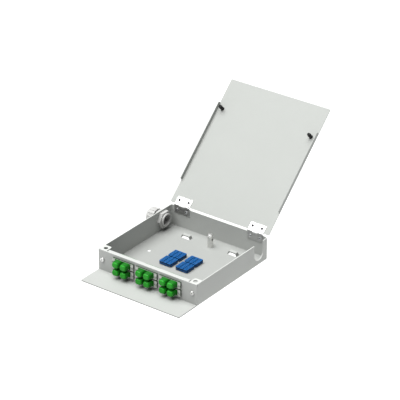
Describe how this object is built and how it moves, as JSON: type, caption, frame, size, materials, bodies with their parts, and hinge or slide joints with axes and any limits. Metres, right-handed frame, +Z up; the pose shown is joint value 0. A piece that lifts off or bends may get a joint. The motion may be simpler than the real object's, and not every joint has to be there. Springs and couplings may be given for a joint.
{
  "type": "fiber termination box",
  "caption": "Small wall-mount sheet-metal fibre termination box with a hinged lid, capped duplex ports on the front, splice holders inside and a side cable gland.",
  "frame": {"origin": "centre of the underside of the box, without the front apron", "axes": "+Z up, -Y towards the front ports, +X right as seen from the front; the lid is stored open"},
  "size_m": [0.1828, 0.3341, 0.1648],
  "materials": {
    "tray_paint": "fine satin powder coat",
    "panel_paint": "fine satin powder coat",
    "lid_paint": "fine satin powder coat",
    "hinge_steel": "nickel plated",
    "rivet_steel": "zinc plated",
    "screw_steel": "nickel plated",
    "adapter_plastic": "moulded, semi-gloss",
    "cap_plastic": "moulded, semi-gloss",
    "flange_plastic": "moulded, satin",
    "ceramic": "polished zirconia",
    "holder_plastic": "moulded, satin",
    "pad_foam": "adhesive foam",
    "post_metal": "nickel plated",
    "latch_nylon": "moulded nylon",
    "gland_plastic": "moulded polyamide",
    "gland_rubber": "soft rubber"
  },
  "bodies": {
    "base": {"base_tray": "tray_paint", "adapter_panel": "panel_paint", "panel_screws": "screw_steel", "panel_clinch_nuts": "screw_steel", "adapter_screws": "screw_steel", "adapter_nuts": "screw_steel", "alignment_sleeves": "ceramic", "sc_adapter_1": "adapter_plastic", "adapter_flange_1": "flange_plastic", "sc_adapter_2": "adapter_plastic", "adapter_flange_2": "flange_plastic", "sc_adapter_3": "adapter_plastic", "adapter_flange_3": "flange_plastic", "sc_adapter_4": "adapter_plastic", "adapter_flange_4": "flange_plastic", "sc_adapter_5": "adapter_plastic", "adapter_flange_5": "flange_plastic", "sc_adapter_6": "adapter_plastic", "adapter_flange_6": "flange_plastic", "hinge_wall_leaf_left": "hinge_steel", "hinge_pin_left": "rivet_steel", "hinge_wall_leaf_right": "hinge_steel", "hinge_pin_right": "rivet_steel", "hinge_rivets_wall": "rivet_steel", "holder_foam_pads": "pad_foam", "strength_member_post": "post_metal", "post_clamp_screw": "screw_steel", "gland_body": "gland_plastic", "gland_locknut": "gland_plastic", "gland_washer": "gland_rubber", "gland_neck_ring": "gland_rubber", "gland_seal": "gland_rubber", "splice_holder_1": "holder_plastic", "splice_holder_2": "holder_plastic", "splice_holder_3": "holder_plastic", "splice_holder_4": "holder_plastic"},
    "lid": {"lid_panel": "lid_paint", "hinge_lid_leaf_left": "hinge_steel", "hinge_lid_leaf_right": "hinge_steel", "hinge_rivets_lid": "rivet_steel", "latch_grommet_left": "latch_nylon", "latch_grommet_right": "latch_nylon"},
    "latch_plunger_l": {"latch_plunger_left": "latch_nylon"},
    "latch_plunger_r": {"latch_plunger_right": "latch_nylon"},
    "gland_nut": {"gland_dome_nut": "gland_plastic"},
    "cap_01": {"dust_cap_01": "cap_plastic"},
    "cap_02": {"dust_cap_02": "cap_plastic"},
    "cap_03": {"dust_cap_03": "cap_plastic"},
    "cap_04": {"dust_cap_04": "cap_plastic"},
    "cap_05": {"dust_cap_05": "cap_plastic"},
    "cap_06": {"dust_cap_06": "cap_plastic"},
    "cap_07": {"dust_cap_07": "cap_plastic"},
    "cap_08": {"dust_cap_08": "cap_plastic"},
    "cap_09": {"dust_cap_09": "cap_plastic"},
    "cap_10": {"dust_cap_10": "cap_plastic"},
    "cap_11": {"dust_cap_11": "cap_plastic"},
    "cap_12": {"dust_cap_12": "cap_plastic"}
  },
  "joints": [
    {"name": "lid_hinge", "type": "hinge", "parent": "base", "child": "lid", "pos_m": [0, 0.07655, 0.0338], "axis": [1, 0, 0], "range_deg": [0, 137]},
    {"name": "latch_pull_left", "type": "slide", "parent": "lid", "child": "latch_plunger_l", "axis": [0, 0.682, -0.7314], "range_m": [0, 0.004]},
    {"name": "latch_pull_right", "type": "slide", "parent": "lid", "child": "latch_plunger_r", "axis": [0, 0.682, -0.7314], "range_m": [0, 0.004]},
    {"name": "cap_pull_01", "type": "slide", "parent": "base", "child": "cap_01", "axis": [0, -1, 0], "range_m": [0, 0.012]},
    {"name": "cap_pull_02", "type": "slide", "parent": "base", "child": "cap_02", "axis": [0, -1, 0], "range_m": [0, 0.012]},
    {"name": "cap_pull_03", "type": "slide", "parent": "base", "child": "cap_03", "axis": [0, -1, 0], "range_m": [0, 0.012]},
    {"name": "cap_pull_04", "type": "slide", "parent": "base", "child": "cap_04", "axis": [0, -1, 0], "range_m": [0, 0.012]},
    {"name": "cap_pull_05", "type": "slide", "parent": "base", "child": "cap_05", "axis": [0, -1, 0], "range_m": [0, 0.012]},
    {"name": "cap_pull_06", "type": "slide", "parent": "base", "child": "cap_06", "axis": [0, -1, 0], "range_m": [0, 0.012]},
    {"name": "cap_pull_07", "type": "slide", "parent": "base", "child": "cap_07", "axis": [0, -1, 0], "range_m": [0, 0.012]},
    {"name": "cap_pull_08", "type": "slide", "parent": "base", "child": "cap_08", "axis": [0, -1, 0], "range_m": [0, 0.012]},
    {"name": "cap_pull_09", "type": "slide", "parent": "base", "child": "cap_09", "axis": [0, -1, 0], "range_m": [0, 0.012]},
    {"name": "cap_pull_10", "type": "slide", "parent": "base", "child": "cap_10", "axis": [0, -1, 0], "range_m": [0, 0.012]},
    {"name": "cap_pull_11", "type": "slide", "parent": "base", "child": "cap_11", "axis": [0, -1, 0], "range_m": [0, 0.012]},
    {"name": "cap_pull_12", "type": "slide", "parent": "base", "child": "cap_12", "axis": [0, -1, 0], "range_m": [0, 0.012]},
    {"name": "gland_nut_turn", "type": "hinge", "parent": "base", "child": "gland_nut", "pos_m": [-0.095, 0.0578, 0.0172], "axis": [-1, 0, 0], "range_deg": [0, 1080]}
  ]
}
